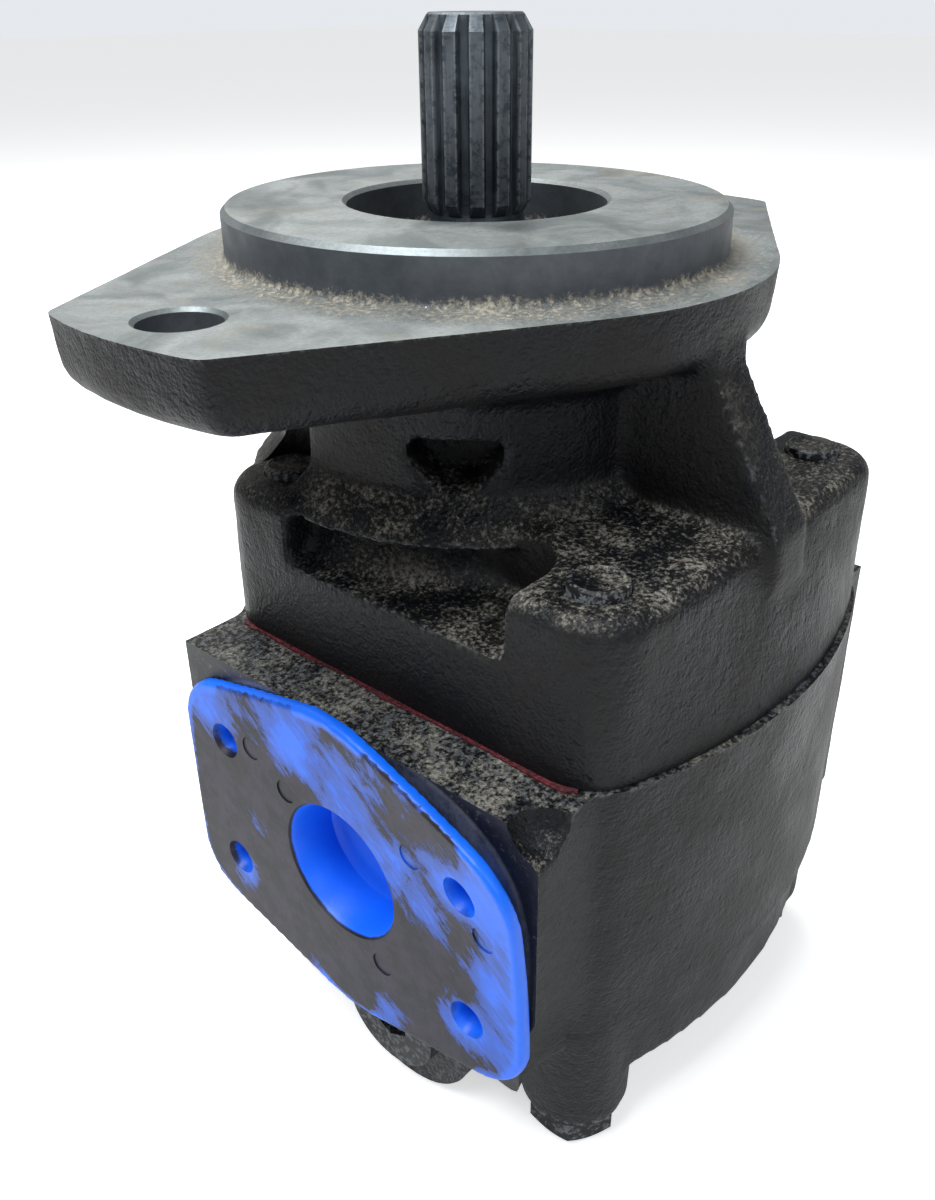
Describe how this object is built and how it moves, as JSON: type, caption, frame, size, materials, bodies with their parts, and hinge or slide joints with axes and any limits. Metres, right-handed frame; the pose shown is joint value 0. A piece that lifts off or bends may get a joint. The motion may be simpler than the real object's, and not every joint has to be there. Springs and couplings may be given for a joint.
{
  "type": "hydraulic gear pump",
  "caption": "Cast-iron external gear pump with a two-bolt pilot flange, splined drive shaft, split-flange side ports and a pull-off plastic port cap.",
  "frame": {"origin": "centre of the mounting face, where the pilot meets the flange", "axes": "+Z out along the drive shaft, X through both flange ears and across the ports, -Y towards the driven gear"},
  "size_m": [0.1752, 0.1435, 0.2157],
  "materials": {
    "painted_iron": "black paint over rough sand-cast iron, dusty, with bare machined faces on the flange",
    "screw_steel": "black painted steel",
    "ground_steel": "ground",
    "shaft_steel": "dark hardened steel, satin",
    "bearing_metal": "satin",
    "wear_bronze": "satin",
    "seal_rubber": "matt",
    "seal_steel": "satin",
    "blue_plastic": "moulded blue plastic under patchy black overspray",
    "plug_steel": "black painted steel"
  },
  "bodies": {
    "housing": {"shaft_end_cover": "painted_iron", "gear_housing": "painted_iron", "port_end_cover": "painted_iron", "clamp_screws": "screw_steel", "screw_washers": "screw_steel", "front_dowels": "ground_steel", "rear_dowels": "ground_steel", "front_drive_bearing": "bearing_metal", "front_driven_bearing": "bearing_metal", "rear_drive_bearing": "bearing_metal", "rear_driven_bearing": "bearing_metal", "front_wear_plate": "wear_bronze", "rear_wear_plate": "wear_bronze", "front_plate_seal": "seal_rubber", "rear_plate_seal": "seal_rubber", "front_joint_seal": "seal_rubber", "rear_joint_seal": "seal_rubber", "shaft_seal_case": "seal_steel", "shaft_seal_lip": "seal_rubber", "seal_retaining_ring": "seal_steel", "rear_port_plug": "plug_steel", "plug_o_ring": "seal_rubber"},
    "drive": {"drive_gear_shaft": "shaft_steel"},
    "driven": {"driven_gear_shaft": "shaft_steel"},
    "cap": {"outlet_cap": "blue_plastic"}
  },
  "joints": [
    {"name": "drive_spin", "type": "hinge", "parent": "housing", "child": "drive", "pos_m": [0, 0, 0], "axis": [0, 0, 1], "continuous": true},
    {"name": "driven_spin", "type": "hinge", "parent": "housing", "child": "driven", "pos_m": [0, -0.0435, 0], "axis": [0, 0, 1], "continuous": true},
    {"name": "cap_pull", "type": "slide", "parent": "housing", "child": "cap", "axis": [-1, 0, 0], "range_m": [0, 0.04]}
  ],
  "couplings": [
    {"joint": "driven_spin", "follows": "drive_spin", "ratio": -1}
  ]
}
